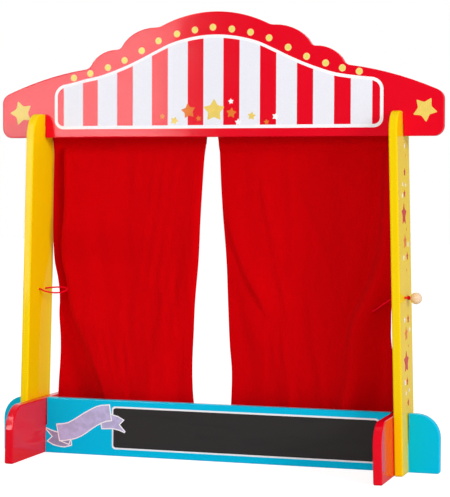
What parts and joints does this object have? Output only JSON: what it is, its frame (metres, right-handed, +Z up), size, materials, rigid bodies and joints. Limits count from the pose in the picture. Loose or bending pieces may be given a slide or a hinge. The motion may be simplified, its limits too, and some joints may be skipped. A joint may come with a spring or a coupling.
{
  "type": "puppet theatre stand",
  "caption": "Table-top puppet theatre of painted boards with a wavy header, leaning posts, feet, curtains on a rod, tie cords with beads and a chalkboard on its base.",
  "frame": {"origin": "on the floor, midway between the posts and under the middle of the feet's depth", "axes": "+X to the viewer's right along the header and the base board, +Y from the viewer through the stage to the puppeteer, +Z up"},
  "size_m": [0.6, 0.2, 0.5855],
  "materials": {
    "blue_paint": "gloss cyan-blue paint on board",
    "red_paint": "high-gloss red paint on board",
    "yellow_paint": "gloss yellow paint on board",
    "chalkboard": "matt black chalkboard paint",
    "beech": "clear-lacquered beech",
    "red_cloth": "plain matt red woven cloth",
    "red_cord": "thin red braided cord"
  },
  "bodies": {
    "stand": {"base_board": "blue_paint", "chalkboard_panel": "chalkboard", "header_board": "red_paint", "curtain_rod": "beech", "left_post": "yellow_paint", "right_post": "yellow_paint", "left_foot": "red_paint", "right_foot": "red_paint", "left_curtain": "red_cloth", "right_curtain": "red_cloth", "left_tie_cord": "red_cord", "right_tie_cord": "red_cord"},
    "left_leading_edge": {"left_curtain_hem": "red_cloth"},
    "right_leading_edge": {"right_curtain_hem": "red_cloth"},
    "left_bead": {"left_pull_bead": "beech", "left_cord_knot": "red_cord"},
    "right_bead": {"right_pull_bead": "beech", "right_cord_knot": "red_cord"}
  },
  "joints": [
    {"name": "left_curtain_draw", "type": "slide", "parent": "stand", "child": "left_leading_edge", "axis": [-1, 0, 0], "range_m": [0, 0.15], "deforming": ["left_curtain"]},
    {"name": "right_curtain_draw", "type": "slide", "parent": "stand", "child": "right_leading_edge", "axis": [1, 0, 0], "range_m": [0, 0.16], "deforming": ["right_curtain"]},
    {"name": "left_bead_pull", "type": "slide", "parent": "stand", "child": "left_bead", "axis": [-1, 0, 0], "range_m": [0, 0.024], "deforming": ["left_tie_cord"]},
    {"name": "right_bead_pull", "type": "slide", "parent": "stand", "child": "right_bead", "axis": [1, 0, 0], "range_m": [0, 0.024], "deforming": ["right_tie_cord"]}
  ]
}
